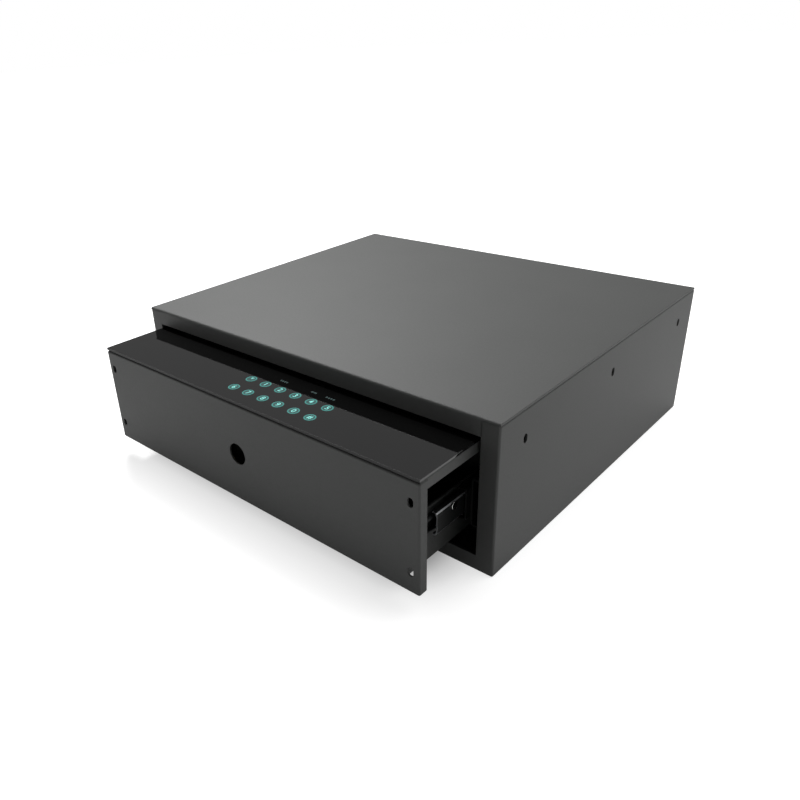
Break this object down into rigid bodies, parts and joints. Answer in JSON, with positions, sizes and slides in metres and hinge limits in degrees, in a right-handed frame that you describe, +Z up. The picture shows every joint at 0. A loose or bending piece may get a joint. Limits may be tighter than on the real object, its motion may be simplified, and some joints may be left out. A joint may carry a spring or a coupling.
{
  "type": "under desk drawer safe",
  "caption": "Black sheet steel drawer safe on ball slides; its drawer stands part open and shows a touch keypad on the lid, above a round key lock hole in the front.",
  "frame": {"origin": "centre of the housing's underside", "axes": "+X to the right seen from the front, +Y from the drawer front to the back, +Z up"},
  "size_m": [0.4, 0.4098, 0.1285],
  "materials": {
    "powder_coat": "fine black powder coat on sheet steel",
    "slide_black": "black electrophoretic coat on rolled steel",
    "zinc": "bright zinc plate",
    "hard_steel": "machined steel",
    "brass": "turned brass",
    "touch_glass": "mirror gloss, black, with lit key legends",
    "black_plastic": "moulded, fine matt",
    "grey_plastic": "moulded, matt",
    "circuit_board": "solder mask on glass fibre board",
    "cell_label": "printed sleeve on a steel can",
    "rubber": "moulded rubber, matt",
    "foam": "closed cell foam sheet"
  },
  "bodies": {
    "housing": {"housing_body": "powder_coat", "top_cover": "powder_coat", "back_panel": "powder_coat", "back_screw_1": "zinc", "back_screw_2": "zinc", "back_screw_3": "zinc", "back_screw_4": "zinc", "slide_bracket_left": "powder_coat", "slide_bracket_right": "powder_coat", "cabinet_slide_left": "slide_black", "cabinet_slide_right": "slide_black", "cabinet_slide_screw_left_1": "zinc", "cabinet_slide_screw_left_2": "zinc", "cabinet_slide_screw_right_1": "zinc", "cabinet_slide_screw_right_2": "zinc", "striker": "zinc", "bumper_left": "rubber", "bumper_right": "rubber"},
    "middle_left": {"middle_slide_left": "slide_black", "stop_rivet_left": "zinc"},
    "middle_right": {"middle_slide_right": "slide_black", "stop_rivet_right": "zinc"},
    "outer_cage_left": {"outer_ball_cage_left": "zinc"},
    "outer_cage_right": {"outer_ball_cage_right": "zinc"},
    "inner_cage_left": {"inner_ball_cage_left": "zinc"},
    "inner_cage_right": {"inner_ball_cage_right": "zinc"},
    "drawer": {"drawer_tray": "powder_coat", "front_plate": "powder_coat", "control_box": "powder_coat", "drawer_lid": "powder_coat", "touch_panel": "touch_glass", "keypad_board": "circuit_board", "key_cylinder": "hard_steel", "cylinder_nut": "zinc", "lock_case": "grey_plastic", "lock_case_cover": "grey_plastic", "lock_motor": "hard_steel", "battery_holder": "black_plastic", "battery_1": "cell_label", "battery_2": "cell_label", "battery_3": "cell_label", "battery_4": "cell_label", "battery_cover": "black_plastic", "battery_cover_screw": "zinc", "liner_mat": "foam", "drawer_slide_left": "slide_black", "drawer_slide_right": "slide_black", "drawer_slide_screw_left_1": "zinc", "drawer_slide_screw_left_2": "zinc", "drawer_slide_screw_right_1": "zinc", "drawer_slide_screw_right_2": "zinc"},
    "bolt": {"lock_bolt": "hard_steel"},
    "pinion": {"drive_pinion": "brass"},
    "key": {"key_plug": "brass", "release_cam": "zinc"}
  },
  "joints": [
    {"name": "drawer_slide", "type": "slide", "parent": "housing", "child": "drawer", "axis": [0, -1, 0], "range_m": [-0.0648, 0.2352]},
    {"name": "middle_left_slide", "type": "slide", "parent": "housing", "child": "middle_left", "axis": [0, -1, 0], "range_m": [-0.0324, 0.1176]},
    {"name": "middle_right_slide", "type": "slide", "parent": "housing", "child": "middle_right", "axis": [0, -1, 0], "range_m": [-0.0324, 0.1176]},
    {"name": "outer_cage_left_slide", "type": "slide", "parent": "housing", "child": "outer_cage_left", "axis": [0, -1, 0], "range_m": [-0.0162, 0.0588]},
    {"name": "outer_cage_right_slide", "type": "slide", "parent": "housing", "child": "outer_cage_right", "axis": [0, -1, 0], "range_m": [-0.0162, 0.0588]},
    {"name": "inner_cage_left_slide", "type": "slide", "parent": "housing", "child": "inner_cage_left", "axis": [0, -1, 0], "range_m": [-0.0486, 0.1764]},
    {"name": "inner_cage_right_slide", "type": "slide", "parent": "housing", "child": "inner_cage_right", "axis": [0, -1, 0], "range_m": [-0.0486, 0.1764]},
    {"name": "bolt_slide", "type": "slide", "parent": "drawer", "child": "bolt", "axis": [0, 0, 1], "range_m": [0, 0.01]},
    {"name": "pinion_spin", "type": "hinge", "parent": "drawer", "child": "pinion", "pos_m": [0.02725, -0.1401, 0.077], "axis": [0, 1, 0], "range_deg": [0, 96]},
    {"name": "key_turn", "type": "hinge", "parent": "drawer", "child": "key", "pos_m": [-0.0014, -0.18, 0.0621], "axis": [0, -1, 0], "range_deg": [0, 90]}
  ],
  "couplings": [
    {"joint": "middle_left_slide", "follows": "drawer_slide", "ratio": 0.5},
    {"joint": "middle_right_slide", "follows": "drawer_slide", "ratio": 0.5},
    {"joint": "outer_cage_left_slide", "follows": "drawer_slide", "ratio": 0.25},
    {"joint": "outer_cage_right_slide", "follows": "drawer_slide", "ratio": 0.25},
    {"joint": "inner_cage_left_slide", "follows": "drawer_slide", "ratio": 0.75},
    {"joint": "inner_cage_right_slide", "follows": "drawer_slide", "ratio": 0.75},
    {"joint": "pinion_spin", "follows": "bolt_slide", "rad_per_m": 166.67},
    {"joint": "key_turn", "follows": "bolt_slide", "rad_per_m": 157}
  ]
}
